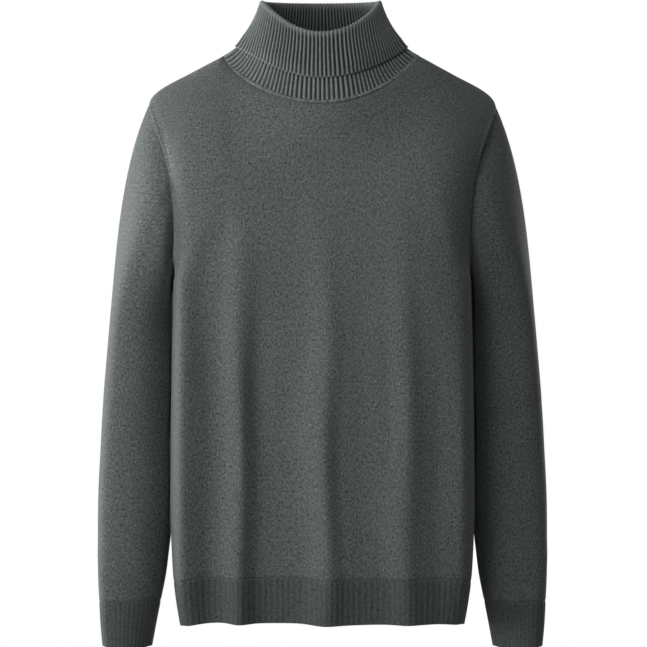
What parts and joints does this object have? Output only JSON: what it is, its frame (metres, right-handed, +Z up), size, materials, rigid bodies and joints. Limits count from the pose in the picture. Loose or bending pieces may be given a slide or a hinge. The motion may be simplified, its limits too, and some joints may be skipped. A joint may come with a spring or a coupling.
{
  "type": "roll-neck knit pullover",
  "caption": "Fine-knit pullover, filled out with nobody in it: straight body, set-in sleeves hanging close, deep ribbed collar folded over, ribbed hem and cuffs, open at every end.",
  "frame": {"origin": "on the shoulder line between the two points where the shoulders meet the neck, on the garment's middle, where it is held up", "axes": "+X to the wearer's left, -Y out of the front, +Z up towards the collar"},
  "size_m": [0.5176, 0.2248, 0.7433],
  "materials": {
    "jersey": "dark grey-green fine plain knit, matt with a faint bloom",
    "rib": "the same yarn in rib, with raised wales"
  },
  "bodies": {
    "root": {"front_body": "jersey", "back_body": "jersey", "sleeve_left": "jersey", "sleeve_right": "jersey", "hem_rib_front": "rib", "hem_rib_back": "rib", "cuff_left": "rib", "cuff_right": "rib", "roll_collar": "rib"}
  },
  "joints": []
}
